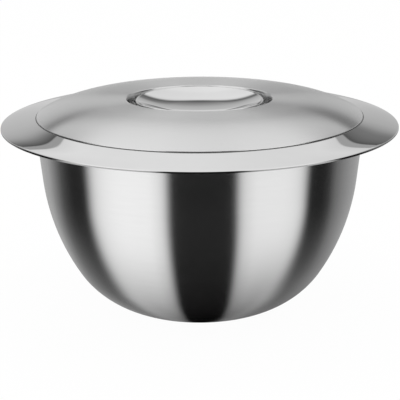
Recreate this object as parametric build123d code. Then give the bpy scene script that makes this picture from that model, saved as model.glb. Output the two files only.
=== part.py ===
from build123d import *
import os
from math import asin, cos, radians, sin, tan

# Double-walled serving bowl with a wide brim and a lift-off lid, in millimetres.
# The foot stands on z = 0, the bowl's axis is Z, and the finger wells lie along X.

# Bowl: the inside form drives the walls, which are laid outwards from it
floor_radius = 41.0
floor_edge_radius = 4.6
lower_wall_radius = 52.6
upper_wall_radius = 135.6
lower_wall_lean = 10.5
upper_wall_lean = 58.0
wall_taper = 5.7
inner_sheet = 0.6
vacuum_gap = 6.0
outer_sheet = 0.8

# Brim: sheet that slopes down from the mouth to a turned-down edge
brim_diameter = 260.0
rim_height = 125.0
brim_slope = 12.0
rim_lip_height = 1.2
rim_bend_radius = 0.3
mouth_bend_radius = 3.0

# Base: recess with a cover plate, evacuation dimple and getter
base_recess_radius = 33.0
base_recess_depth = 2.0
base_cover_sheet = 0.8
base_cover_play = 0.25
base_cover_bevel = 0.25
dimple_radius = 6.0
dimple_depth = 1.4
port_radius = 1.2
seal_bead_depth = 1.1
getter_radius = 4.5
getter_height = 1.6
getter_edge_radius = 0.5
getter_offset = 20.0

# Lid: domed cover over a liner with a skirt that drops into the mouth
lid_diameter = 213.8
lid_seat_gap = 0.15
lid_sheet = 0.5
lid_flat_radius = 66.4
lid_shoulder_radius = 89.6
liner_sheet = 0.5
skirt_clearance = 2.5
skirt_corner_radius = 5.0
flange_clearance = 0.1
foam_clearance = 1.0
foam_floor = 3.0

# Seal ring on the skirt
seal_height = 6.0
seal_drop = 5.0
seal_play = 0.3
seal_lip = 0.7
seal_groove_count = 2

# Grip: dished disc over an oval finger well
grip_diameter = 84.0
grip_sheet = 1.4
grip_edge_round = 0.2
dish_floor_radius = 176.0
dish_floor_reach = 19.2
dish_side_radius = 73.2
grip_joint = 0.4
finger_gap = 6.2
well_end_draft = 18.0
well_side_draft = 6.0
well_edge_radius = 0.3
well_floor_radius = 3.0
post_radius = 17.0
post_height = 3.6
post_groove = 1.4
stud_radius = 2.5
stud_bevel = 0.5
stud_spacing = 20.0
stud_play = 0.2
washer_radius = 5.0
washer_thickness = 1.0
nut_width = 8.0
nut_height = 4.0
stud_end = 1.0
post_play = 0.05

# Places that follow from the sizes above
brim_radius = brim_diameter / 2
lid_radius = lid_diameter / 2
grip_radius = grip_diameter / 2
wall_depth = inner_sheet + vacuum_gap + outer_sheet
lower_angle = radians(90 - lower_wall_lean)
upper_angle = radians(90 - upper_wall_lean)
taper_angle = radians(wall_taper)
brim_angle = radians(brim_slope)
mouth_bend = min(mouth_bend_radius, vacuum_gap - inner_sheet)
upright = radians(90)


def at(radius, height):
    return Vector(radius, 0, height)


def facing(angle):
    # Unit vector that points outwards and the given angle below the horizontal
    return at(cos(angle), -sin(angle))


def arc(centre, radius, start, end):
    middle = (start + end) / 2
    return ThreePointArc(
        centre + facing(start) * radius,
        centre + facing(middle) * radius,
        centre + facing(end) * radius,
    )


def turned(*edges):
    return revolve(make_face(edges), Axis.Z)


def path(*points):
    return Polyline(*points).edges()


# Bowl walls
floor_edge_centre = at(floor_radius, wall_depth + floor_edge_radius)
lower_centre = floor_edge_centre + facing(lower_angle) * (floor_edge_radius - lower_wall_radius)
upper_centre = lower_centre + facing(upper_angle) * (lower_wall_radius - upper_wall_radius)
wall_direction = at(sin(taper_angle), cos(taper_angle))
brim_direction = facing(brim_angle)
brim_normal = at(sin(brim_angle), cos(brim_angle))
rim_corner = at(brim_radius, rim_height)


def wall_start(outset):
    # Top of the curved wall, where the straight taper begins
    return upper_centre + facing(taper_angle) * (upper_wall_radius + outset)


def wall_radius_at(height, outset):
    start = wall_start(outset)
    return start.X + (height - start.Z) * tan(taper_angle)


def brim_height_at(radius):
    return rim_height + (brim_radius - radius) * tan(brim_angle)


def wall_meets_brim(outset, drop):
    # Crossing of the tapered wall with the brim's line, the drop below its top face
    start = wall_start(outset)
    offset = rim_corner - brim_normal * drop - start
    along = (offset.X * brim_direction.Z - offset.Z * brim_direction.X) / (
        wall_direction.X * brim_direction.Z - wall_direction.Z * brim_direction.X
    )
    return start + wall_direction * along


def rim_corner_under(drop):
    # Corner between the brim and the lip, the drop inside their outer faces
    radius = brim_radius - drop
    return at(radius, brim_height_at(radius) - drop / cos(brim_angle))


def curved_wall(outset):
    return [
        arc(floor_edge_centre, floor_edge_radius + outset, radians(90), lower_angle),
        arc(lower_centre, lower_wall_radius + outset, lower_angle, upper_angle),
        arc(upper_centre, upper_wall_radius + outset, upper_angle, taper_angle),
    ]


def floor_point(outset):
    return at(floor_radius, wall_depth - outset)


def axis_point(height):
    return at(0, height)


# Inner wall, drawn in one sheet with the brim and its turned-down edge
lip_end = rim_height - rim_lip_height


def inner_face(outset):
    corner = rim_corner_under(outset)
    sheet_left = inner_sheet - outset
    return [
        Line(axis_point(wall_depth - outset), floor_point(outset)),
        *curved_wall(outset),
        *FilletPolyline(
            wall_start(outset),
            wall_meets_brim(outset, outset),
            corner,
            at(corner.X, lip_end),
            radius=[mouth_bend + sheet_left, rim_bend_radius + sheet_left],
        ).edges(),
    ]


inner_bowl = turned(
    *inner_face(0),
    Line(at(brim_radius, lip_end), at(brim_radius - inner_sheet, lip_end)),
    *inner_face(inner_sheet),
    Line(axis_point(wall_depth - inner_sheet), axis_point(wall_depth)),
)

# Outer wall, from the recessed base up to the underside of the brim
gap_side = inner_sheet + vacuum_gap
recess_ceiling = base_recess_depth + outer_sheet
dimple_ceiling = base_recess_depth + dimple_depth
outer_shell = turned(
    *path(
        at(port_radius, dimple_ceiling),
        at(dimple_radius, dimple_ceiling),
        at(dimple_radius, base_recess_depth),
        at(base_recess_radius, base_recess_depth),
        at(base_recess_radius, 0),
        floor_point(wall_depth),
    ),
    *curved_wall(wall_depth),
    Line(wall_start(wall_depth), wall_meets_brim(wall_depth, inner_sheet)),
    Line(wall_meets_brim(wall_depth, inner_sheet), wall_meets_brim(gap_side, inner_sheet)),
    Line(wall_meets_brim(gap_side, inner_sheet), wall_start(gap_side)),
    *curved_wall(gap_side),
    *path(
        floor_point(gap_side),
        at(base_recess_radius + outer_sheet, outer_sheet),
        at(base_recess_radius + outer_sheet, recess_ceiling),
        at(dimple_radius + outer_sheet, recess_ceiling),
        at(dimple_radius + outer_sheet, dimple_ceiling + outer_sheet),
        at(port_radius, dimple_ceiling + outer_sheet),
        at(port_radius, dimple_ceiling),
    ),
)

# Cover plate, seal bead and getter in the base
base_cover = Pos(0, 0, base_recess_depth) * Cylinder(
    base_recess_radius - base_cover_play,
    base_cover_sheet,
    align=(Align.CENTER, Align.CENTER, Align.MAX),
)
base_cover = chamfer(base_cover.edges().group_by(Axis.Z)[0], base_cover_bevel)
vacuum_seal = Pos(0, 0, dimple_ceiling) * Cylinder(
    dimple_radius,
    seal_bead_depth,
    align=(Align.CENTER, Align.CENTER, Align.MAX),
)
vacuum_seal = fillet(vacuum_seal.edges().group_by(Axis.Z)[0], seal_bead_depth / 2)
getter = Pos(getter_offset, 0, recess_ceiling) * Cylinder(
    getter_radius,
    getter_height,
    align=(Align.CENTER, Align.CENTER, Align.MIN),
)
getter = fillet(getter.edges().group_by(Axis.Z)[-1], getter_edge_radius)

# Lid cover: flat crown, round shoulder and an edge cut square to the sheet
lid_edge_height = brim_height_at(lid_radius) + lid_seat_gap + lid_sheet
shoulder_angle = asin((lid_radius - lid_flat_radius) / lid_shoulder_radius)
lid_top = lid_edge_height + lid_shoulder_radius * (1 - cos(shoulder_angle))
shoulder_centre = at(lid_flat_radius, lid_top - lid_shoulder_radius)
edge_under = shoulder_centre + facing(shoulder_angle - radians(90)) * (lid_shoulder_radius - lid_sheet)

# Dish of the grip: a shallow floor arc that runs into a steeper side arc, flush with the lid at its edge
floor_lean = asin(dish_floor_reach / dish_floor_radius)
side_centre_radius = dish_floor_reach - dish_side_radius * sin(floor_lean)
edge_lean = asin((grip_radius - side_centre_radius) / (dish_side_radius + grip_sheet))
floor_rise = dish_floor_radius * (1 - cos(floor_lean))
side_rise = dish_side_radius * (cos(floor_lean) - cos(edge_lean))
dish_depth = floor_rise + side_rise
dish_centre = axis_point(lid_top - dish_depth + dish_floor_radius)
side_centre = dish_centre + facing(upright - floor_lean) * (dish_floor_radius - dish_side_radius)

# Stack under the grip: well floor, washers, nuts, foam and the liner's floor
well_depth = dish_depth + grip_sheet + post_height
well_floor = lid_top - well_depth
well_under = well_floor - lid_sheet
nut_top = well_under - washer_thickness
stud_bottom = nut_top - nut_height - stud_end
foam_floor_top = stud_bottom - foam_clearance
liner_floor = foam_floor_top - foam_floor
skirt_end = liner_floor - liner_sheet


def shoulder(inset, end):
    # Shoulder arc of the lid, the inset below its top face, out to an angle from the vertical
    return arc(shoulder_centre, lid_shoulder_radius - inset, radians(-90), end - radians(90))


def lid_block(inset):
    # Solid below the cover's face at the given inset
    top = lid_top - inset
    start = shoulder_centre + facing(shoulder_angle - radians(90)) * (lid_shoulder_radius - inset)
    edges = [
        Line(axis_point(top), at(lid_flat_radius, top)),
        shoulder(inset, shoulder_angle),
        *path(at(edge_under.X, edge_under.Z), at(edge_under.X, skirt_end), axis_point(skirt_end), axis_point(top)),
    ]
    if inset < lid_sheet:
        edges.append(Line(start, edge_under))
    return turned(*edges)


# Oval finger well with drafted walls, cut from a block
well_half_width = grip_radius + grip_joint
well_half_length = grip_radius + finger_gap


def well_outline(height, inset):
    # Oval of the well's wall, moved into the sheet by the inset
    depth = lid_top - height
    end = well_half_length + inset / cos(radians(well_end_draft)) - depth * tan(radians(well_end_draft))
    side = well_half_width + inset / cos(radians(well_side_draft)) - depth * tan(radians(well_side_draft))
    return Pos(0, 0, height) * Ellipse(end, side)


def with_well(block, inset):
    pocket = loft([well_outline(lid_top, inset), well_outline(well_floor - inset, inset)], ruled=True)
    block = block - pocket
    bottom, floor, crown = block.faces().filter_by(GeomType.PLANE).sort_by(Axis.Z)
    block = fillet(floor.outer_wire().edges(), well_floor_radius + inset)
    crown = block.faces().filter_by(GeomType.PLANE).sort_by(Axis.Z)[-1]
    return fillet(crown.inner_wires()[0].edges(), well_edge_radius + lid_sheet - inset)


stud_places = [Pos(side * stud_spacing / 2, 0, 0) for side in (-1, 1)]
lid_cover = with_well(lid_block(0), 0) - with_well(lid_block(lid_sheet), lid_sheet)
for place in stud_places:
    lid_cover = lid_cover - place * Pos(0, 0, well_floor) * Cylinder(stud_radius + stud_play, well_depth)

# Lid liner: flange welded under the cover, skirt and floor
liner_inset = lid_sheet + liner_sheet
flange_room = (liner_sheet + flange_clearance) / cos(shoulder_angle)
flange_setback = flange_room / (tan(shoulder_angle) - tan(brim_angle))
skirt_radius = wall_radius_at(skirt_end, 0) - skirt_clearance


def shoulder_angle_at(radius, inset):
    return asin((radius - lid_flat_radius) / (lid_shoulder_radius - inset))


def shoulder_point(radius, inset):
    angle = shoulder_angle_at(radius, inset)
    return shoulder_centre + facing(angle - radians(90)) * (lid_shoulder_radius - inset)


def flange_arc(inset, inner, outer):
    first = shoulder_angle_at(inner, inset) - radians(90)
    last = shoulder_angle_at(outer, inset) - radians(90)
    return arc(shoulder_centre, lid_shoulder_radius - inset, first, last)


flange_outer = lid_radius - lid_sheet - flange_setback
skirt_inside = skirt_radius - liner_sheet
lid_liner = turned(
    flange_arc(lid_sheet, skirt_inside, flange_outer),
    Line(shoulder_point(flange_outer, lid_sheet), shoulder_point(flange_outer, liner_inset)),
    flange_arc(liner_inset, skirt_radius, flange_outer),
    *FilletPolyline(
        shoulder_point(skirt_radius, liner_inset),
        at(skirt_radius, skirt_end),
        axis_point(skirt_end),
        radius=skirt_corner_radius + liner_sheet,
    ).edges(),
    Line(axis_point(skirt_end), axis_point(liner_floor)),
    *FilletPolyline(
        axis_point(liner_floor),
        at(skirt_inside, liner_floor),
        shoulder_point(skirt_inside, lid_sheet),
        radius=skirt_corner_radius,
    ).edges(),
)

# Foam between the two sheets, with a thin floor under the well
foam_radius = skirt_inside - foam_clearance
foam_hole = well_half_length + lid_sheet + foam_clearance
foam_inset = lid_sheet + foam_clearance
foam_top = lid_top - foam_inset
lid_insulation = turned(
    Line(axis_point(liner_floor), at(skirt_inside - skirt_corner_radius, liner_floor)),
    Line(
        at(skirt_inside - skirt_corner_radius, liner_floor),
        at(foam_radius, liner_floor + skirt_corner_radius),
    ),
    Line(at(foam_radius, liner_floor + skirt_corner_radius), shoulder_point(foam_radius, foam_inset)),
    arc(
        shoulder_centre,
        lid_shoulder_radius - foam_inset,
        radians(-90),
        shoulder_angle_at(foam_radius, foam_inset) - radians(90),
    ),
    *path(
        at(lid_flat_radius, foam_top),
        at(foam_hole, foam_top),
        at(foam_hole, foam_floor_top),
        axis_point(foam_floor_top),
        axis_point(liner_floor),
    ),
)

# Silicone ring on the skirt, with two lips that follow the mouth's taper
seal_top = brim_height_at(wall_start(0).X) - seal_drop
seal_bottom = seal_top - seal_height


def seal_reach(height):
    return wall_radius_at(height, 0) - seal_play


lip_steps = 2 * seal_groove_count + 1
seal_outline = [at(skirt_radius, seal_bottom)]
for step in range(lip_steps + 1):
    height = seal_bottom + step * seal_height / lip_steps
    reach = seal_reach(height) - (seal_lip if step % 2 == 0 else 0)
    seal_outline.append(at(reach, height))
seal_outline.append(at(skirt_radius, seal_top))
seal_outline.append(seal_outline[0])
lid_seal = turned(*path(*seal_outline))


# Grip disc of even thickness, cut square to its sheet
def dish_face(below):
    return [
        arc(dish_centre, dish_floor_radius + below, upright, upright - floor_lean),
        arc(side_centre, dish_side_radius + below, upright - floor_lean, upright - edge_lean),
    ]


def dish_edge(below):
    return side_centre + facing(upright - edge_lean) * (dish_side_radius + below)


def dish_middle(below):
    return dish_centre + facing(upright) * (dish_floor_radius + below)


grip_disc = turned(
    *dish_face(0),
    Line(dish_edge(0), dish_edge(grip_sheet)),
    *dish_face(grip_sheet),
    Line(dish_middle(grip_sheet), dish_middle(0)),
)
grip_rims = grip_disc.edges().filter_by(GeomType.CIRCLE).sort_by(Axis.Z)[-2:]
grip_disc = fillet(grip_rims, grip_edge_round)

# Post under the dish, grooved for the fingers and seated on the well's floor
post_seat = grip_sheet + post_play
post_seat_radius = dish_floor_radius + post_seat
post_angle = asin(post_radius / post_seat_radius)
post_top = dish_centre + facing(upright - post_angle) * post_seat_radius
post_middle = (post_top.Z + well_floor) / 2
grip_post = turned(
    arc(dish_centre, post_seat_radius, upright, upright - post_angle),
    ThreePointArc(post_top, at(post_radius - post_groove, post_middle), at(post_radius, well_floor)),
    *path(at(post_radius, well_floor), axis_point(well_floor), dish_middle(post_seat)),
)
for place in stud_places:
    grip_post = grip_post - place * Pos(0, 0, well_floor) * Cylinder(stud_radius + stud_play, 2 * well_depth)

# Studs welded under the dish, with their washers and nuts below the well
dish_ball = Pos(dish_centre) * Sphere(dish_floor_radius + grip_sheet)
stud_blank = Pos(0, 0, stud_bottom) * Cylinder(
    stud_radius,
    lid_top - stud_bottom,
    align=(Align.CENTER, Align.CENTER, Align.MIN),
)
stud_blank = chamfer(stud_blank.edges().group_by(Axis.Z)[0], stud_bevel)
washer = Pos(0, 0, well_under) * (
    Cylinder(washer_radius, washer_thickness, align=(Align.CENTER, Align.CENTER, Align.MAX))
    - Cylinder(stud_radius + stud_play, 2 * washer_thickness)
)
nut_blank = Pos(0, 0, nut_top - nut_height) * extrude(
    RegularPolygon(nut_width / 2, 6, major_radius=False) - Circle(stud_radius),
    nut_height,
)
grip_studs = Compound([(place * stud_blank - dish_ball).solid() for place in stud_places])
grip_washers = Compound([(place * washer).solid() for place in stud_places])
grip_nuts = Compound([(place * nut_blank).solid() for place in stud_places])

nodes = {
    "outer_shell": outer_shell,
    "inner_bowl": inner_bowl,
    "base_cover": base_cover,
    "vacuum_seal": vacuum_seal,
    "getter": getter,
    "lid_cover": lid_cover,
    "lid_liner": lid_liner,
    "lid_insulation": lid_insulation,
    "lid_seal": lid_seal,
    "grip_disc": grip_disc,
    "grip_post": grip_post,
    "grip_studs": grip_studs,
    "grip_washers": grip_washers,
    "grip_nuts": grip_nuts,
}
os.makedirs("parts", exist_ok=True)
for name, shape in nodes.items():
    export_step(shape, f"parts/{name}.step")
    print(name, round(shape.volume, 1), "mm3")
print("mouth height", round(brim_height_at(wall_start(0).X), 2), "lid top", round(lid_top, 2))
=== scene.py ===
from math import asin, cos, pi, radians, sin, tan

import bmesh
import bpy
from mathutils import Matrix, Vector


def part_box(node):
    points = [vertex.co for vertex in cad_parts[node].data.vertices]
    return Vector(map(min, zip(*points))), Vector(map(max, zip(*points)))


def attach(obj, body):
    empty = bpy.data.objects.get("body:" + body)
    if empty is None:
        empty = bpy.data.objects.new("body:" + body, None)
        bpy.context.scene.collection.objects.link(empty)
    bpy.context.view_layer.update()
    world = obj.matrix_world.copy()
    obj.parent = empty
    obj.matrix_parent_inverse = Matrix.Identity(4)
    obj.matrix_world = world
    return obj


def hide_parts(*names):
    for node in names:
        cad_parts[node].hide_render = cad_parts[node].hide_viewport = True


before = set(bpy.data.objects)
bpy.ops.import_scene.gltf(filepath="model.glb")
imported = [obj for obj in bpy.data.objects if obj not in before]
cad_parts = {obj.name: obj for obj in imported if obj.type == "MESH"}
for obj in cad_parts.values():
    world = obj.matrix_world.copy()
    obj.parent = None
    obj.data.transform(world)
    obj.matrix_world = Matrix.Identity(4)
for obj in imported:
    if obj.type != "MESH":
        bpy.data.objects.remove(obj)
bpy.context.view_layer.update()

# Double-walled serving bowl with its lid: profiles are in millimetres from the axis and the table
mm = 0.001
around = 240  # points in a full turn
quarterTurn = radians(90)
arcStep = radians(2.0)
bendTurn = 1.5 * arcStep  # a sharper turn than this is a bend, a slighter one belongs to an arc
sharpAngle = radians(32)
holdReach = 0.35  # distance of a support ring from a bend
holdLength = 4 * holdReach  # a shorter run has no room for support rings
nearGap = 0.05  # points closer than this to a worked edge make way for it
cornerPoints = 9
noiseLow, noiseHigh = 0.3, 0.7  # most of a noise lies between these
white = "#FFFFFF"


def hexToLinear(code):
    shares = [int(code[i:i + 2], 16) / 255 for i in (1, 3, 5)]
    return [s / 12.92 if s <= 0.04045 else ((s + 0.055) / 1.055) ** 2.4 for s in shares] + [1.0]


def addNode(tree, kind, inputs=None, **settings):
    node = tree.nodes.new(kind)
    for name, value in settings.items():
        setattr(node, name, value)
    for name, value in (inputs or {}).items():
        if isinstance(value, bpy.types.NodeSocket):
            tree.links.new(value, node.inputs[name])
        else:
            node.inputs[name].default_value = value
    return node


def setRamp(node, stops):
    ramp = node.color_ramp
    ramp.elements.remove(ramp.elements[1])
    ramp.elements[0].position = stops[0][0]
    for stop in stops[1:]:
        ramp.elements.new(stop[0])
    for element, stop in zip(ramp.elements, stops):
        element.color = [stop[1]] * 3 + [1.0]


def newMaterial(name):
    material = bpy.data.materials.new(name)
    material.use_nodes = True
    material.node_tree.nodes.clear()
    return material, material.node_tree


def linkedMesh(name, bm, finishes):
    mesh = bpy.data.meshes.new(name)
    bm.to_mesh(mesh)
    bm.free()
    for finish in finishes:
        mesh.materials.append(finish)
    thing = bpy.data.objects.new(name, mesh)
    bpy.context.scene.collection.objects.link(thing)
    return thing


# Profile tools: a profile is a list of (radius, height) points
# A ring is (half length, half width, height at the ends, height at the sides)
def facing(angle):
    return Vector((cos(angle), -sin(angle)))  # outwards and the angle below level


def arcPoints(centre, radius, start, end, step=arcStep):
    count = max(2, round(abs(end - start) / step) + 1)
    angles = [start + (end - start) * i / (count - 1) for i in range(count)]
    return [centre + facing(angle) * radius for angle in angles]


def roundCorners(points, radii):
    # Open path through the points, with a round of its own at each inner corner
    points = [Vector(p) for p in points]
    path = [points[0]]
    for before, corner, after, radius in zip(points, points[1:], points[2:], radii):
        toBefore, toAfter = (before - corner).normalized(), (after - corner).normalized()
        halfAngle = toBefore.angle(toAfter) / 2
        reach = radius / tan(halfAngle)
        centre = corner + (toBefore + toAfter).normalized() * (radius / sin(halfAngle))
        first, last = corner + toBefore * reach - centre, corner + toAfter * reach - centre
        turn = first.angle(last)
        for i in range(cornerPoints):
            share = i / (cornerPoints - 1)
            offset = first * sin((1 - share) * turn) + last * sin(share * turn)
            path.append(centre + offset / sin(turn))
    return path + [points[-1]]


def holdStraights(profile):
    # Extra points beside each long straight keep its shading flat up to the bends
    points = [Vector(p) for p in profile]
    runs = [end - start for start, end in zip(points, points[1:])]
    turns = [0] + [first.angle(second, 0) for first, second in zip(runs, runs[1:])] + [0]
    path = points[:1]
    for i, run in enumerate(runs):
        if run.length > holdLength and max(turns[i], turns[i + 1]) > bendTurn:
            share = holdReach / run.length
            path += [points[i] + run * part for part in (share, 0.5, 1 - share)]
        path.append(points[i + 1])
    return path


def joinedFaces(upper, lower, topRound, underRound):
    # Closed run over an upper and a lower face, with a rounded edge where they end
    corners = [upper[-2], upper[-1], lower[-1], lower[-2]]
    edge = roundCorners(corners, [topRound, underRound])[1:-1]
    upperTaken = (edge[0] - upper[-1]).length + nearGap
    lowerTaken = (edge[-1] - lower[-1]).length + nearGap
    upper = [q for q in upper if (q - upper[-1]).length > upperTaken]
    lower = [q for q in lower if (q - lower[-1]).length > lowerTaken]
    return upper + edge + list(reversed(lower))


def roundRings(profile):
    return [(p[0], p[0], p[1], p[1]) for p in profile]


def skinRings(name, rings, body, node, finishes):
    # Skins a closed run of rings; a ring of no size is one point on the axis
    bm = bmesh.new()
    rows = []
    for length, width, endHeight, sideHeight in rings:
        if length < 1e-6:
            rows.append([bm.verts.new((0, 0, endHeight * mm))])
            continue
        row = []
        for angle in [2 * pi * i / around for i in range(around)]:
            height = endHeight * cos(angle) ** 2 + sideHeight * sin(angle) ** 2
            spot = (length * cos(angle) * mm, width * sin(angle) * mm, height * mm)
            row.append(bm.verts.new(spot))
        rows.append(row)
    pairs = list(zip(rows, rows[1:]))
    if len(rows[0]) > 1:
        pairs.append((rows[-1], rows[0]))
    for low, high in pairs:
        for i in range(around):
            j = (i + 1) % around
            corners = [
                low[i % len(low)], low[j % len(low)], high[j % len(high)], high[i % len(high)]]
            face = list(dict.fromkeys(corners))
            if len(face) > 2:
                bm.faces.new(face)
    bmesh.ops.recalc_face_normals(bm, faces=bm.faces)
    piece = linkedMesh(name, bm, finishes)
    piece.data.shade_smooth()
    piece.data.set_sharp_from_angle(angle=sharpAngle)
    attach(piece, body)
    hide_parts(node)
    print("piece", name, len(piece.data.polygons), "faces")
    return piece


# Finishes: each ends in the same way, with its tint, gloss and relief taken from patterns
def addSurface(tree, look, tintBy, glossBy, reliefBy, brush=None):
    tint = addNode(
        tree, "ShaderNodeMix",
        {"Factor": tintBy, "A": hexToLinear(look["dark"]), "B": hexToLinear(look["light"])},
        data_type="RGBA")
    rough = addNode(
        tree, "ShaderNodeMapRange",
        {"Value": glossBy, "From Min": noiseLow, "From Max": noiseHigh,
         "To Min": look["roughness"] - look["spread"],
         "To Max": look["roughness"] + look["spread"]})
    bump = addNode(
        tree, "ShaderNodeBump",
        {"Height": reliefBy, "Strength": look["reliefShare"], "Distance": look["relief"] * mm})
    skin = addNode(
        tree, "ShaderNodeBsdfPrincipled",
        {"Base Color": tint.outputs[2], "Metallic": look["metallic"],
         "Roughness": rough.outputs["Result"], "Normal": bump.outputs["Normal"],
         **(brush or {})})
    addNode(tree, "ShaderNodeOutputMaterial", {"Surface": skin.outputs["BSDF"]})


def brushedSteel(name, look):
    # Sheet that was brushed while it turned: every mark runs round the axis
    material, tree = newMaterial(name)
    place = addNode(tree, "ShaderNodeTexCoord").outputs["Object"]
    pitch = 1 / (look["markSpacing"] * mm)
    flat = addNode(
        tree, "ShaderNodeVectorMath", {0: place, 1: (1.0, 1.0, 0.0)}, operation="MULTIPLY")
    radius = addNode(
        tree, "ShaderNodeVectorMath", {0: flat.outputs["Vector"]}, operation="LENGTH")
    bearing = addNode(
        tree, "ShaderNodeVectorMath", {0: flat.outputs["Vector"]}, operation="NORMALIZE")
    turns = addNode(
        tree, "ShaderNodeVectorMath",
        {0: bearing.outputs["Vector"], "Scale": look["marksRound"]}, operation="SCALE")
    climb = addNode(
        tree, "ShaderNodeVectorMath", {0: place, 1: (0.0, 0.0, pitch)}, operation="MULTIPLY")
    track = addNode(
        tree, "ShaderNodeVectorMath",
        {0: turns.outputs["Vector"], 1: climb.outputs["Vector"]}, operation="ADD")
    reach = addNode(
        tree, "ShaderNodeMath", {0: radius.outputs["Value"], 1: pitch}, operation="MULTIPLY")
    marks = addNode(
        tree, "ShaderNodeTexNoise",
        {"Vector": track.outputs["Vector"], "W": reach.outputs["Value"],
         "Scale": 1.0, "Detail": 2.0, "Roughness": 0.6}, noise_dimensions="4D").outputs["Fac"]
    patches = addNode(
        tree, "ShaderNodeTexNoise",
        {"Vector": place, "Scale": 1 / (look["patchSize"] * mm), "Detail": 2.0})
    worn = addNode(
        tree, "ShaderNodeMix",
        {"Factor": look["patchShare"], "A": marks, "B": patches.outputs["Fac"]})
    tangent = addNode(tree, "ShaderNodeTangent", direction_type="RADIAL", axis="Z")
    brush = {
        "Anisotropic": look["anisotropy"],
        "Anisotropic Rotation": 0.25,  # a quarter turn, so that light spreads across the marks
        "Tangent": tangent.outputs["Tangent"],
    }
    addSurface(tree, look, marks, worn.outputs["Result"], marks, brush)
    return material


def polishedSteel(name, look):
    # Buffed with compound: the haze is finer than the waves that the press left
    material, tree = newMaterial(name)
    place = addNode(tree, "ShaderNodeTexCoord").outputs["Object"]
    haze = addNode(
        tree, "ShaderNodeTexNoise",
        {"Vector": place, "Scale": 1 / (look["hazeSize"] * mm), "Detail": 4.0,
         "Roughness": 0.6}).outputs["Fac"]
    wave = addNode(
        tree, "ShaderNodeTexNoise",
        {"Vector": place, "Scale": 1 / (look["waveSize"] * mm), "Detail": 1.0})
    addSurface(tree, look, haze, haze, wave.outputs["Fac"])
    return material


def grainyFinish(name, look):
    # An even grain breaks up colour, gloss and relief together
    material, tree = newMaterial(name)
    place = addNode(tree, "ShaderNodeTexCoord").outputs["Object"]
    grain = addNode(
        tree, "ShaderNodeTexNoise",
        {"Vector": place, "Scale": 1 / (look["grainSize"] * mm), "Detail": 5.0,
         "Roughness": 0.6}).outputs["Fac"]
    addSurface(tree, look, grain, grain, grain)
    return material


# The lid: bright bands with soft ends, drawn out across fine rings
satinLook = {
    "light": "#EDEDED", "dark": "#E7E7E7", "metallic": 1.0,
    "roughness": 0.245, "spread": 0.006, "anisotropy": 1.0,
    "markSpacing": 0.8, "marksRound": 5.0,  # real marks are some 0.05 mm apart, drawn coarser
    "relief": 0.002, "reliefShare": 0.1,
    "patchSize": 14.0, "patchShare": 0.35,
}
# The wall: upright bands of black and white with narrow soft edges, under level streaks
wallLook = dict(
    satinLook, light="#EAEAEA", dark="#E3E3E3",
    roughness=0.21, spread=0.01, reliefShare=0.2)
# The inside: brushed by hand and less even, so a broad sheen with no clear bands
insideLook = dict(satinLook, roughness=0.36, spread=0.01, anisotropy=0.75, reliefShare=0.06)
# Brim and grip: a clear mirror with a trace of haze and slow waves
mirrorLook = {
    "light": "#ECECEC", "dark": "#E8E8E8", "metallic": 1.0,
    "roughness": 0.025, "spread": 0.006, "hazeSize": 9.0, "waveSize": 40.0,
    "relief": 0.01, "reliefShare": 1.0,
}
stockLook = {"metallic": 1.0, "reliefShare": 0.5}
# Hidden steel: a grey sheen with a fine grain
sheetLook = dict(
    stockLook, light="#DAD9D7", dark="#C9C8C6",
    roughness=0.34, spread=0.05, grainSize=0.8, relief=0.004)
# The finger well: painted lighter than the lid's steel to lift it out of its own shade, with
# reflections blurred alike in all directions
pressedLook = dict(
    stockLook, light="#F4F4F4", dark="#EBEBEB",
    roughness=0.24, spread=0.03, grainSize=0.9, relief=0.001)
# The line beside the lid: dull, and dark grey as painted shade of the gap under the lid's edge
gapShadeLook = dict(
    stockLook, light="#989898", dark="#808080",
    roughness=0.55, spread=0.05, grainSize=0.6, relief=0.01)
# The trimmed end of the brim: a thin line, greyer than the mirror above it, partly the trimmed
# edge's own dull grey and partly painted shade reflected from below
trimmedAndShadedLook = dict(
    stockLook, light="#B4B4B4", dark="#A6A6A6",
    roughness=0.12, spread=0.03, grainSize=0.6, relief=0.001)
# Braze that ran and set: dull, yellowish and uneven
brazeLook = dict(
    stockLook, light="#B9B2A2", dark="#958E80",
    roughness=0.5, spread=0.1, grainSize=1.5, relief=0.05)
# Cut foam: cream, matt and rough with cells
foamLook = dict(
    stockLook, light="#EFE6CB", dark="#DCCFAA", metallic=0.0,
    roughness=0.9, spread=0.05, grainSize=1.2, relief=0.3)
# Moulded silicone: pale grey with a waxy sheen
siliconeLook = dict(
    stockLook, light="#DDDEDC", dark="#D2D3D1", metallic=0.0,
    roughness=0.48, spread=0.06, grainSize=0.6, relief=0.01)

satinLid = brushedSteel("stainless_satin_brushed_lid", satinLook)
satinWall = brushedSteel("stainless_satin_brushed_wall", wallLook)
satinInside = brushedSteel("stainless_satin_brushed_inside", insideLook)
mirrorSteel = polishedSteel("stainless_mirror_polished", mirrorLook)
coldRolled = grainyFinish("stainless_cold_rolled", sheetLook)
pressedSteel = grainyFinish("stainless_as_pressed", pressedLook)
gapShadeSteel = grainyFinish("stainless_painted_gap_shade", gapShadeLook)
trimmedAndShadedSteel = grainyFinish("stainless_trimmed_with_painted_shade", trimmedAndShadedLook)
brazeMetal = grainyFinish("silver_braze_as_set", brazeLook)
foam = grainyFinish("polyurethane_foam_cut", foamLook)
silicone = grainyFinish("silicone_moulded", siliconeLook)
print("finishes", len(bpy.data.materials))

for node, finish in {
    "base_cover": coldRolled,
    "vacuum_seal": brazeMetal,
    "getter": coldRolled,
    "lid_liner": coldRolled,
    "lid_insulation": foam,
    "grip_post": coldRolled,
    "grip_studs": coldRolled,
    "grip_washers": coldRolled,
    "grip_nuts": coldRolled,
}.items():
    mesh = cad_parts[node].data
    mesh.materials.clear()
    mesh.materials.append(finish)

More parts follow.
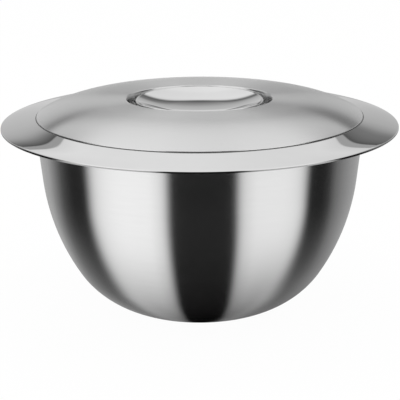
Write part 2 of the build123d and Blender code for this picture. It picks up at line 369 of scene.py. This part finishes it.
# Bowl: both walls are laid outwards from the inside form
bowl = {
    "rimHeight": 125.0,
    "floorRadius": 41.0, "floorEdge": 4.6, "lowerWall": 52.6, "upperWall": 135.6,
    "lowerLean": 10.5, "upperLean": 58.0, "taper": 5.7,
    "innerSheet": 0.6, "gap": 6.0, "outerSheet": 0.8,
    "brimSlope": 12.0, "lipHeight": 1.2, "cutHeight": 0.8, "rimBend": 0.04, "mouthBend": 3.0,
    "brimFlattest": 118.0, "brimCurveStart": 107.0, "brimStep": 0.8,
    "swell": {1: -0.0181, 3: 0.000135, 4: 0.0000034},  # factors by power of the offset
    "lineRadius": 107.1, "lineWidth": 0.66, "lineDepth": 0.15,
    "lineFloorShare": 0.5, "lineShadeDepth": 0.18,
    "recessRadius": 33.0, "recessDepth": 2.0,
    "portRadius": 1.2, "dimpleRadius": 6.0, "dimpleDepth": 1.4,
}
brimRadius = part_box("inner_bowl")[1].x / mm
lipEnd = bowl["rimHeight"] - bowl["lipHeight"]
wallDepth = bowl["innerSheet"] + bowl["gap"] + bowl["outerSheet"]
lowerAngle = radians(90 - bowl["lowerLean"])
upperAngle = radians(90 - bowl["upperLean"])
taperAngle = radians(bowl["taper"])
brimAngle = radians(bowl["brimSlope"])
floorEdgeCentre = Vector((bowl["floorRadius"], wallDepth + bowl["floorEdge"]))
lowerCentre = floorEdgeCentre + facing(lowerAngle) * (bowl["floorEdge"] - bowl["lowerWall"])
upperCentre = lowerCentre + facing(upperAngle) * (bowl["lowerWall"] - bowl["upperWall"])


def brimHeightAt(radius):
    return bowl["rimHeight"] + (brimRadius - radius) * tan(brimAngle)


def brimSag(radius):
    # The press left the brim flatter in the middle and steeper at the rim, which bends reflections
    def swell(spot):
        offset = spot - bowl["brimFlattest"]
        return sum(factor * offset ** power for power, factor in bowl["swell"].items())

    return swell(brimRadius) - swell(max(radius, bowl["brimCurveStart"]))


def curvedWall(outset):
    # Inside form of the bowl, moved outwards into the wall
    return (
        arcPoints(floorEdgeCentre, bowl["floorEdge"] + outset, quarterTurn, lowerAngle)[:-1]
        + arcPoints(lowerCentre, bowl["lowerWall"] + outset, lowerAngle, upperAngle)[:-1]
        + arcPoints(upperCentre, bowl["upperWall"] + outset, upperAngle, taperAngle)
    )


def wallTop(outset, drop):
    # Where the tapered wall meets the brim's line, the drop below its top face
    start = upperCentre + facing(taperAngle) * (bowl["upperWall"] + outset)
    top = brimHeightAt(0) - drop / cos(brimAngle)
    foot = start.x - start.y * tan(taperAngle)
    height = (top - foot * tan(brimAngle)) / (1 + tan(taperAngle) * tan(brimAngle))
    return Vector((start.x + (height - start.y) * tan(taperAngle), height))


def withLine(path):
    # A fine line pressed into the brim round the lid's edge, where the lid finds its seat
    narrow, depth = bowl["lineFloorShare"], bowl["lineDepth"]
    line = []
    for side, drop in ((-1, 0), (-narrow, depth), (narrow, depth), (1, 0)):
        radius = bowl["lineRadius"] + side * bowl["lineWidth"] / 2
        line.append(Vector((radius, brimHeightAt(radius) + brimSag(radius) - drop)))
    before = [q for q in path if q.x < line[0].x - nearGap]
    after = [q for q in path if q.x > line[-1].x + nearGap]
    return before + line + after


def bowlFace(outset):
    # One face of the inner sheet: floor, wall, bend at the mouth, brim and turned-down lip
    wall = curvedWall(outset)
    radius = brimRadius - outset
    corner = Vector((radius, brimHeightAt(radius) - outset / cos(brimAngle)))
    rest = bowl["innerSheet"] - outset
    edge = roundCorners(
        [wall[-1], wallTop(outset, outset), corner, (radius, lipEnd)],
        [bowl["mouthBend"] + rest, bowl["rimBend"] + rest])
    mouth, rim = edge[:cornerPoints + 1], edge[cornerPoints + 1:]
    curved = rim[0].x - bowl["brimCurveStart"]
    steps = round(curved / bowl["brimStep"])
    brim = [rim[0].x - curved * i / steps for i in range(steps, 0, -1)]
    brim = [Vector((r, brimHeightAt(r) - outset / cos(brimAngle))) for r in brim]
    path = []
    for q in mouth + brim + rim:
        sag = brimSag(q.x) if q.x > bowl["brimCurveStart"] else 0
        path.append(Vector((q.x, q.y + sag)))
    if outset == 0:
        path = withLine(path)
        path.insert(-1, Vector((radius, lipEnd + bowl["cutHeight"])))
    return [Vector((0, wallDepth - outset))] + wall[:-1] + path


innerProfile = bowlFace(0) + list(reversed(bowlFace(bowl["innerSheet"])))
innerBowl = skinRings(
    "inner_bowl_with_brim", roundRings(holdStraights(innerProfile)),
    "bowl", "inner_bowl",
    [mirrorSteel, satinInside, gapShadeSteel, trimmedAndShadedSteel])
mouthRadius = wallTop(0, 0).x
lipInside = brimRadius - bowl["innerSheet"] / 2
for face in innerBowl.data.polygons:
    radius, height = face.center.xy.length / mm, face.center.z / mm
    fromLine = abs(radius - bowl["lineRadius"])
    belowBrim = brimHeightAt(radius) - height
    if radius < mouthRadius:
        face.material_index = 1  # the inside is brushed, the brim is polished
    elif fromLine < bowl["lineWidth"] / 2 and belowBrim < bowl["lineShadeDepth"]:
        face.material_index = 2  # the line is dark grey, painted shade of the gap under the lid's edge
    elif radius > lipInside and height < lipEnd + bowl["cutHeight"]:
        face.material_index = 3  # the end of the lip is trimmed after the polish, and painted greyer for the shade it reflects from below

gapSide = bowl["innerSheet"] + bowl["gap"]
ceiling = bowl["recessDepth"] + bowl["outerSheet"]
dimpleCeiling = bowl["recessDepth"] + bowl["dimpleDepth"]
sheet = bowl["outerSheet"]
outerProfile = (
    [(bowl["portRadius"], dimpleCeiling), (bowl["dimpleRadius"], dimpleCeiling),
     (bowl["dimpleRadius"], bowl["recessDepth"]), (bowl["recessRadius"], bowl["recessDepth"]),
     (bowl["recessRadius"], 0)]
    + curvedWall(wallDepth)
    + [wallTop(wallDepth, bowl["innerSheet"]), wallTop(gapSide, bowl["innerSheet"])]
    + list(reversed(curvedWall(gapSide)))
    + [(bowl["recessRadius"] + sheet, sheet), (bowl["recessRadius"] + sheet, ceiling),
       (bowl["dimpleRadius"] + sheet, ceiling),
       (bowl["dimpleRadius"] + sheet, dimpleCeiling + sheet),
       (bowl["portRadius"], dimpleCeiling + sheet)]
)
skinRings(
    "outer_wall", roundRings(holdStraights(outerProfile)),
    "bowl", "outer_shell", [satinWall])

# Grip: pressed disc, gently dished in the middle and steeper towards its rounded edge
grip = {
    "radius": 42.0, "sheet": 1.4, "topRound": 1.3, "underRound": 0.06, "arcStep": 0.7,
    "floorArc": 176.0, "floorReach": 19.2, "sideArc": 73.2,
    "postHeight": 3.6,
}
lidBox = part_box("lid_cover")
lidRadius = lidBox[1].x / mm
lidTop = lidBox[1].z / mm
floorTurn = asin(grip["floorReach"] / grip["floorArc"])
sideCentreRadius = grip["floorReach"] - grip["sideArc"] * sin(floorTurn)
edgeTurn = asin((grip["radius"] - sideCentreRadius) / (grip["sideArc"] + grip["sheet"]))
floorRise = grip["floorArc"] * (1 - cos(floorTurn))
sideRise = grip["sideArc"] * (cos(floorTurn) - cos(edgeTurn))
dishDepth = floorRise + sideRise
floorCentre = Vector((0, lidTop - dishDepth + grip["floorArc"]))
sideOffset = grip["floorArc"] - grip["sideArc"]
sideCentre = floorCentre + facing(quarterTurn - floorTurn) * sideOffset


def dishFace(below):
    step = radians(grip["arcStep"])
    middle, bend, edge = quarterTurn, quarterTurn - floorTurn, quarterTurn - edgeTurn
    return (
        arcPoints(floorCentre, grip["floorArc"] + below, middle, bend, step)[:-1]
        + arcPoints(sideCentre, grip["sideArc"] + below, bend, edge, step)
    )


dishProfile = joinedFaces(
    dishFace(0), dishFace(grip["sheet"]), grip["topRound"], grip["underRound"])
skinRings(
    "grip_dish", roundRings(holdStraights(dishProfile)),
    "lid", "grip_disc", [mirrorSteel])

# Lid cover: flat crown with a pressed oval well, round shoulder and a softened edge
lid = {
    "sheet": 0.5, "flatRadius": 66.4, "shoulder": 89.6, "edgeRound": 0.4, "underRound": 0.06,
    "joint": 0.4, "fingerGap": 6.2,
    "endDraft": 18.0, "sideDraft": 6.0, "wellEdge": 0.3, "wellFloorEdge": 3.0,
    "floorShares": (0.25, 0.5), "crownReach": 3.0, "crownShares": (0.3, 0.6, 0.9),
    "brushDepth": 1.0,
}
shoulderAngle = asin((lidRadius - lid["flatRadius"]) / lid["shoulder"])
shoulderCentre = Vector((lid["flatRadius"], lidTop - lid["shoulder"]))
wellDepth = dishDepth + grip["sheet"] + grip["postHeight"]
halfLength = grip["radius"] + lid["fingerGap"]
halfWidth = grip["radius"] + lid["joint"]
floorInner, floorOuter = lid["floorShares"]


def wellSection(edge, draft, inset):
    # Across the well's wall: floor, round, leaning wall and bend into the crown
    lean = tan(radians(draft))
    top, floor = lidTop - inset, lidTop - wellDepth - inset
    side = edge + inset / cos(radians(draft))
    return roundCorners(
        [(edge * floorOuter, floor), (side - (lidTop - floor) * lean, floor),
         (side - inset * lean, top), (edge + lid["crownReach"], top)],
        [lid["wellFloorEdge"] + inset, lid["wellEdge"] + lid["sheet"] - inset])


def wellRings(inset):
    # One face of the lid sheet, from the middle of the well out to the shoulder
    top, floor = lidTop - inset, lidTop - wellDepth - inset
    ends = holdStraights(wellSection(halfLength, lid["endDraft"], inset))
    sides = holdStraights(wellSection(halfWidth, lid["sideDraft"], inset))
    rings = [(0, 0, floor, floor)]
    rings.append((halfLength * floorInner, halfWidth * floorInner, floor, floor))
    rings += [(end[0], side[0], end[1], side[1]) for end, side in zip(ends, sides)]
    inner = rings[-1]
    for share in lid["crownShares"]:
        length, width = [r + (lid["flatRadius"] - r) * share for r in inner[:2]]
        rings.append((length, width, top, top))
    return rings


def shoulderFace(inset):
    return arcPoints(
        shoulderCentre, lid["shoulder"] - inset, -quarterTurn, shoulderAngle - quarterTurn)


shoulder = joinedFaces(
    shoulderFace(0), shoulderFace(lid["sheet"]), lid["edgeRound"], lid["underRound"])
lidCover = skinRings(
    "lid_cover_with_well",
    wellRings(0) + roundRings(shoulder) + list(reversed(wellRings(lid["sheet"]))),
    "lid", "lid_cover", [satinLid, pressedSteel])
for face in lidCover.data.polygons:
    sunk = face.center.z < (lidTop - lid["brushDepth"]) * mm
    if sunk and face.center.xy.length < halfLength * mm:
        face.material_index = 1  # no brush reaches into the well

# Seal: silicone ring round the skirt, with soft lips that follow the mouth's taper
seal = {"skirtClearance": 2.5, "play": 0.3, "lip": 0.7, "steps": 5, "lipRound": 0.3}
sealLow, sealHigh = [corner.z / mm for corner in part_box("lid_seal")]


def mouthRadiusAt(height):
    start = upperCentre + facing(taperAngle) * bowl["upperWall"]
    return start.x + (height - start.y) * tan(taperAngle)


skirtRadius = mouthRadiusAt(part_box("lid_liner")[0].z / mm) - seal["skirtClearance"]
sealOutline = [(skirtRadius, sealLow)]
for step in range(seal["steps"] + 1):
    height = sealLow + (sealHigh - sealLow) * step / seal["steps"]
    reach = mouthRadiusAt(height) - seal["play"] - (seal["lip"] if step % 2 == 0 else 0)
    sealOutline.append((reach, height))
sealOutline.append((skirtRadius, sealHigh))
sealProfile = roundCorners(sealOutline, [seal["lipRound"]] * (seal["steps"] + 1))
skinRings(
    "seal_ring", roundRings(holdStraights(sealProfile)),
    "lid", "lid_seal", [silicone])

# Stage: pale floor for the camera, and boards round the set that only the metal sees
stage = {
    "floorSize": 12.0, "floorCells": 4, "floorTone": "#F4F4F3", "cameraGlow": 0.97,
    "shellRadius": 3.0, "shellTop": 30.0, "segments": 96, "boardHeight": 0.0006,
    "centreHeight": 0.13, "shadeCentre": (0.014, 0.0, 0.0),
    "middleCentre": (0.0015, -0.033, 0.0), "sideCentre": (0.0, -0.051, 0.0),
    "boardsFadeFrom": 0.56, "boardsFadeTo": 0.84, "sideBlend": 0.1,
    "boardsTop": 33.0, "diffuserFrom": 48.0,
}

# Brightness by bearing in degrees: 0 faces the camera, and the back is at 180
# Bright boards to both sides in front, black in the middle and at the sides, paper behind
middleStops = [
    (-34, 1.0), (-27, 0.86), (-24.2, 0.7), (-22.2, 0.43), (-20.3, 0.15), (-18.2, 0.0195),
    (20.5, 0.0195), (23, 0.1), (25, 0.42), (27, 0.68), (30, 0.86), (37, 1.0),
]
sideStops = [
    (-180, 0.55), (-150, 0.47), (-130, 0.4), (-118.5, 0.21), (-110, 0.07), (-102, 0.025),
    (-96, 0.014), (-86.5, 0.02), (-84, 0.14), (-81, 0.5), (-78, 0.78), (-75, 0.91),
    (-70, 1.0), (-62, 1.07), (-54, 1.09), (-30, 1.06), (25, 0.96), (48, 0.99), (60, 0.99),
    (66, 0.96), (70.5, 0.92), (74, 0.82), (77.2, 0.5), (79.5, 0.13), (81.3, 0.012),
    (94, 0.012), (100, 0.035), (107, 0.15), (116, 0.24), (127, 0.32), (150, 0.42), (180, 0.55),
]
# Painted spill light on the table beside the bowl, by bearing
spillStops = [
    (-180, 0.78), (-150, 0.9), (-112, 0.96), (-100, 0.7), (-92, 0.42), (-78, 0.42), (-62, 0.0),
    (62, 0.0), (78, 0.5), (83, 0.5), (88, 0.32), (95, 0.42), (103, 0.5), (135, 0.58), (180, 0.78),
]

# Brightness by degrees above the lid, painted light: paper painted darker towards its top edge, a
# gap, the diffuser
leftStops = [
    (-6, 0.69), (1, 0.635), (5, 0.59), (10, 0.555), (14, 0.525), (17, 0.475), (18.5, 0.435),
    (20, 0.36), (22, 0.215), (24.2, 0.09), (24.5, 0.36), (26.3, 0.36), (26.6, 0.74),
    (30, 0.85), (39, 0.905), (50, 0.9),
]
rightStops = [
    (-6, 0.65), (1, 0.58), (5, 0.53), (10, 0.49), (13, 0.455), (15, 0.395), (16.3, 0.335),
    (17.7, 0.25), (19, 0.2), (21, 0.18), (23, 0.14), (24.2, 0.09), (24.5, 0.38),
    (26.3, 0.38), (26.6, 0.7), (30, 0.8), (39, 0.86), (50, 0.86),
]

# Brightness by reach over the table in metres: the bowl's own shadow painted in, and a pool of
# painted light close beside it
footShadeStops = [
    (0.0, 0.01), (0.045, 0.03), (0.06, 0.12), (0.085, 0.37), (0.115, 0.69), (0.16, 0.95),
    (0.22, 1.0),
]
paintedSpillByReach = [
    (0.0, 0.45), (0.077, 0.4), (0.09, 0.3), (0.104, 0.215), (0.123, 0.155), (0.147, 0.11),
    (0.2, 0.035), (0.3, 0.005),
]
product = {"data_type": "RGBA", "blend_type": "MULTIPLY"}
total = {"data_type": "RGBA", "blend_type": "ADD"}


def bearingRamp(tree, place, centre, stops):
    offset = addNode(tree, "ShaderNodeVectorMath", {0: place, 1: centre}, operation="SUBTRACT")
    split = addNode(tree, "ShaderNodeSeparateXYZ", {"Vector": offset.outputs["Vector"]})
    ahead = addNode(tree, "ShaderNodeMath", {0: split.outputs["Y"], 1: -1.0}, operation="MULTIPLY")
    bearing = addNode(
        tree, "ShaderNodeMath", {0: split.outputs["X"], 1: ahead.outputs["Value"]},
        operation="ARCTAN2")
    turn = addNode(
        tree, "ShaderNodeMapRange",
        {"Value": bearing.outputs["Value"], "From Min": -pi, "From Max": pi})
    ramp = addNode(tree, "ShaderNodeValToRGB", {"Fac": turn.outputs["Result"]})
    setRamp(ramp, [((angle + 180) / 360, tone) for angle, tone in stops])
    return ramp.outputs["Color"]


def boardTones(tree, place):
    middle = bearingRamp(tree, place, stage["middleCentre"], middleStops)
    sides = bearingRamp(tree, place, stage["sideCentre"], sideStops)
    both = addNode(tree, "ShaderNodeMix", {"Factor": 1.0, "A": middle, "B": sides}, **product)
    return both.outputs[2]


def seenDirectly(tree):
    # 1 for rays from the camera, also by way of metal, and 0 for light on matt surfaces
    rays = addNode(tree, "ShaderNodeLightPath").outputs
    seen = rays["Is Camera Ray"]
    for kind in ("Is Glossy Ray", "Is Transmission Ray"):
        larger = addNode(tree, "ShaderNodeMath", {0: seen, 1: rays[kind]}, operation="MAXIMUM")
        seen = larger.outputs["Value"]
    return seen


def addGlow(tree, colour):
    glow = addNode(tree, "ShaderNodeEmission", {"Color": colour, "Strength": 1.0})
    addNode(tree, "ShaderNodeOutputMaterial", {"Surface": glow.outputs["Emission"]})


def stageObject(name, bm, material):
    card = linkedMesh(name, bm, [material])
    return card


floorPaper, tree = newMaterial("white_paper_floor")
share = addNode(
    tree, "ShaderNodeMath", {0: seenDirectly(tree), 1: stage["cameraGlow"]}, operation="MULTIPLY")
paper = addNode(tree, "ShaderNodeBsdfDiffuse", {"Color": hexToLinear(stage["floorTone"])})
glow = addNode(tree, "ShaderNodeEmission", {"Color": hexToLinear(white), "Strength": 1.0})
mix = addNode(
    tree, "ShaderNodeMixShader",
    {"Fac": share.outputs["Value"], 1: paper.outputs["BSDF"], 2: glow.outputs["Emission"]})
addNode(tree, "ShaderNodeOutputMaterial", {"Surface": mix.outputs["Shader"]})
bm = bmesh.new()
bmesh.ops.create_grid(
    bm, x_segments=stage["floorCells"], y_segments=stage["floorCells"],
    size=stage["floorSize"] / 2)
stageObject("floor", bm, floorPaper)

# Wall and ceiling of the set, glowing with painted light and shade that only the metal sees
lowest, highest = sin(radians(leftStops[0][0])), sin(radians(leftStops[-1][0]))
setWall, tree = newMaterial("set_paper_and_diffuser")
place = addNode(tree, "ShaderNodeNewGeometry").outputs["Position"]
fromBowl = addNode(
    tree, "ShaderNodeVectorMath", {0: place, 1: (0, 0, stage["centreHeight"])},
    operation="SUBTRACT")
direction = addNode(
    tree, "ShaderNodeVectorMath", {0: fromBowl.outputs["Vector"]}, operation="NORMALIZE")
split = addNode(tree, "ShaderNodeSeparateXYZ", {"Vector": direction.outputs["Vector"]})
level = addNode(
    tree, "ShaderNodeMapRange",
    {"Value": split.outputs["Z"], "From Min": lowest, "From Max": highest})
halves = []
for stops in (leftStops, rightStops):
    half = addNode(tree, "ShaderNodeValToRGB", {"Fac": level.outputs["Result"]})
    heights = [(sin(radians(stop[0])) - lowest) / (highest - lowest) for stop in stops]
    setRamp(half, [(height, stop[1]) for height, stop in zip(heights, stops)])
    halves.append(half.outputs["Color"])
across = addNode(
    tree, "ShaderNodeMapRange",
    {"Value": split.outputs["X"], "From Min": -stage["sideBlend"],
     "From Max": stage["sideBlend"]})
paper = addNode(
    tree, "ShaderNodeMix",
    {"Factor": across.outputs["Result"], "A": halves[0], "B": halves[1]}, data_type="RGBA")
beside = addNode(
    tree, "ShaderNodeMapRange",
    {"Value": split.outputs["Y"], "From Min": stage["boardsFadeFrom"],
     "From Max": stage["boardsFadeTo"], "To Min": 1.0, "To Max": 0.0})
below = addNode(
    tree, "ShaderNodeMapRange",
    {"Value": split.outputs["Z"], "From Min": sin(radians(stage["boardsTop"])),
     "From Max": sin(radians(stage["diffuserFrom"])), "To Min": 1.0, "To Max": 0.0})
inBoards = addNode(
    tree, "ShaderNodeMath", {0: beside.outputs["Result"], 1: below.outputs["Result"]},
    operation="MULTIPLY")
tone = addNode(
    tree, "ShaderNodeMix",
    {"Factor": inBoards.outputs["Value"], "A": paper.outputs[2], "B": boardTones(tree, place)},
    data_type="RGBA")
addGlow(tree, tone.outputs[2])
shellTop = stage["centreHeight"] + stage["shellRadius"] * tan(radians(stage["shellTop"]))
bm = bmesh.new()
bmesh.ops.create_cone(
    bm, cap_ends=False, segments=stage["segments"],
    radius1=stage["shellRadius"], radius2=stage["shellRadius"], depth=shellTop)
bmesh.ops.translate(bm, verts=bm.verts, vec=(0, 0, shellTop / 2))
topEdges = [e for e in bm.edges if e.is_boundary and e.verts[0].co.z > shellTop / 2]
bmesh.ops.holes_fill(bm, edges=topEdges)
shell = stageObject("set_shell", bm, setWall)

# The boards' reflection on the table, with the bowl's own shadow painted in near its foot and
# painted spill light beside it
boardsAndPaintedShade, tree = newMaterial("set_boards_and_painted_shade")
place = addNode(tree, "ShaderNodeNewGeometry").outputs["Position"]
offset = addNode(
    tree, "ShaderNodeVectorMath", {0: place, 1: stage["shadeCentre"]}, operation="SUBTRACT")
flat = addNode(
    tree, "ShaderNodeVectorMath", {0: offset.outputs["Vector"], 1: (1, 1, 0)},
    operation="MULTIPLY")
reach = addNode(tree, "ShaderNodeVectorMath", {0: flat.outputs["Vector"]}, operation="LENGTH")
layers = []
for stops, sectors in (
    (footShadeStops, boardTones(tree, place)),
    (paintedSpillByReach, bearingRamp(tree, place, stage["sideCentre"], spillStops)),
):
    ramp = addNode(tree, "ShaderNodeValToRGB", {"Fac": reach.outputs["Value"]})
    setRamp(ramp, stops)
    layer = addNode(
        tree, "ShaderNodeMix", {"Factor": 1.0, "A": sectors, "B": ramp.outputs["Color"]},
        **product)
    layers.append(layer.outputs[2])
lit = addNode(tree, "ShaderNodeMix", {"Factor": 1.0, "A": layers[0], "B": layers[1]}, **total)
addGlow(tree, lit.outputs[2])
bm = bmesh.new()
bmesh.ops.create_circle(
    bm, cap_ends=True, segments=stage["segments"], radius=stage["shellRadius"])
bmesh.ops.translate(bm, verts=bm.verts, vec=(0, 0, stage["boardHeight"]))
board = stageObject("set_boards_and_painted_shade", bm, boardsAndPaintedShade)

for card in (shell, board):
    card.visible_camera = False
    card.visible_diffuse = False
    card.visible_shadow = False
    card.data.materials[0].cycles.emission_sampling = "NONE"

# Light for everything that isn't metal: a white room and one large softbox overhead
light = {"room": 0.85, "softboxSize": 1.6, "softboxHeight": 1.9, "softboxPower": 12.0}
world = bpy.data.worlds.new("white_room")
bpy.context.scene.world = world
world.use_nodes = True
tree = world.node_tree
tree.nodes.clear()
strength = addNode(
    tree, "ShaderNodeMapRange",
    {"Value": seenDirectly(tree), "To Min": light["room"], "To Max": 1.0})
sky = addNode(
    tree, "ShaderNodeBackground",
    {"Color": hexToLinear(white), "Strength": strength.outputs["Result"]})
addNode(tree, "ShaderNodeOutputWorld", {"Surface": sky.outputs["Background"]})

softbox = bpy.data.lights.new("softbox_overhead", "AREA")
softbox.shape = "SQUARE"
softbox.size = light["softboxSize"]
softbox.energy = light["softboxPower"]
lamp = bpy.data.objects.new("softbox_overhead", softbox)
lamp.location = (0, 0, light["softboxHeight"])
lamp.visible_glossy = False
bpy.context.scene.collection.objects.link(lamp)

# Camera at the photograph's place, for a square image
view = {
    "place": (0.0, -0.7609, 0.2964), "lens": 105.95, "sensor": 36.0,
    "down": 16.572, "roll": -0.292,
}
cameraData = bpy.data.cameras.new("camera")
cameraData.lens = view["lens"]
cameraData.sensor_width = view["sensor"]
camera = bpy.data.objects.new("camera", cameraData)
camera.location = view["place"]
tilt = Matrix.Rotation(radians(90 - view["down"]), 4, "X")
roll = Matrix.Rotation(radians(view["roll"]), 4, "Z")
camera.rotation_euler = (tilt @ roll).to_euler()
bpy.context.scene.collection.objects.link(camera)
bpy.context.scene.camera = camera
bpy.context.scene.view_settings.view_transform = "Standard"
print("stage and camera set")
